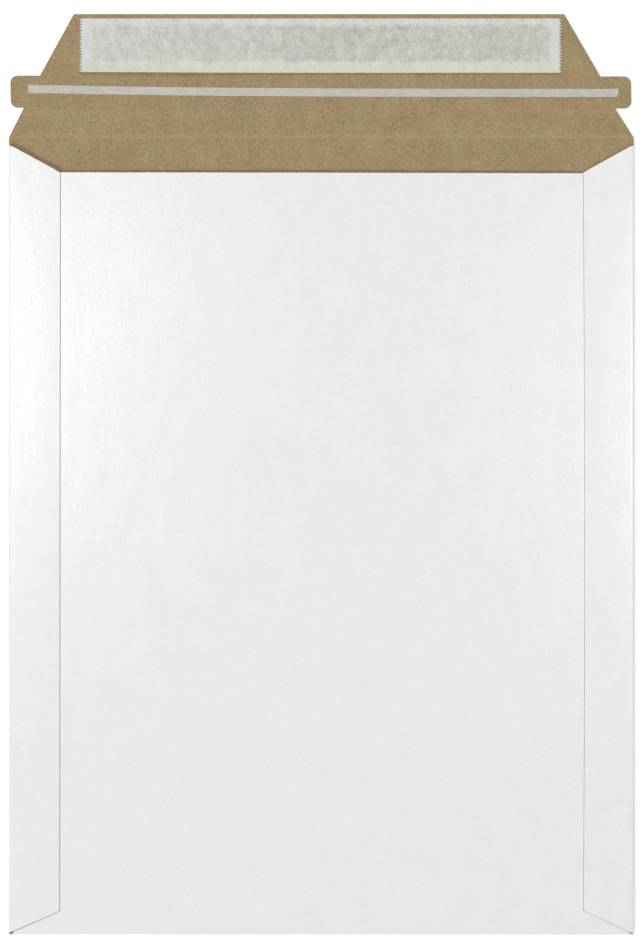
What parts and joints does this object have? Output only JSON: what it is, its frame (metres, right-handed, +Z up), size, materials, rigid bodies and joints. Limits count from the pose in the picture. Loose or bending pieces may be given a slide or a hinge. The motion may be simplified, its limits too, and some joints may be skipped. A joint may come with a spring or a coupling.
{
  "type": "rigid cardboard mailer",
  "caption": "Flat white paperboard mailer folded into a side-seamed pocket, with a kraft-lined closing flap hinged at its crease that carries a peel-off seal strip and a tear tape.",
  "frame": {"origin": "middle of the opened mailer's outline, on the surface it lies on", "axes": "+Z up out of the front panel, +Y along the mailer towards the opened flap, +X to the right"},
  "size_m": [0.2286, 0.3374, 0.0026],
  "materials": {
    "white_board": "white clay-coated paperboard, satin, with fine vertical fibre mottle",
    "kraft_board": "uncoated brown kraft paperboard, matt, with fine dark and pale fibres",
    "seal_adhesive": "clear to cream pressure-sensitive adhesive",
    "release_paper": "thin white siliconised paper, slightly see-through, low sheen",
    "tear_tape_film": "greyish white polypropylene tape, low sheen"
  },
  "bodies": {
    "pocket": {"back_panel": "white_board", "front_panel": "white_board"},
    "closing_flap": {"closing_flap": "kraft_board", "adhesive_strip": "seal_adhesive", "release_liner": "release_paper", "tear_tape": "tear_tape_film"}
  },
  "joints": [
    {"name": "flap_crease", "type": "hinge", "parent": "pocket", "child": "closing_flap", "pos_m": [0, 0.12345, 0.00168], "axis": [1, 0, 0], "range_deg": [0, 178]}
  ]
}
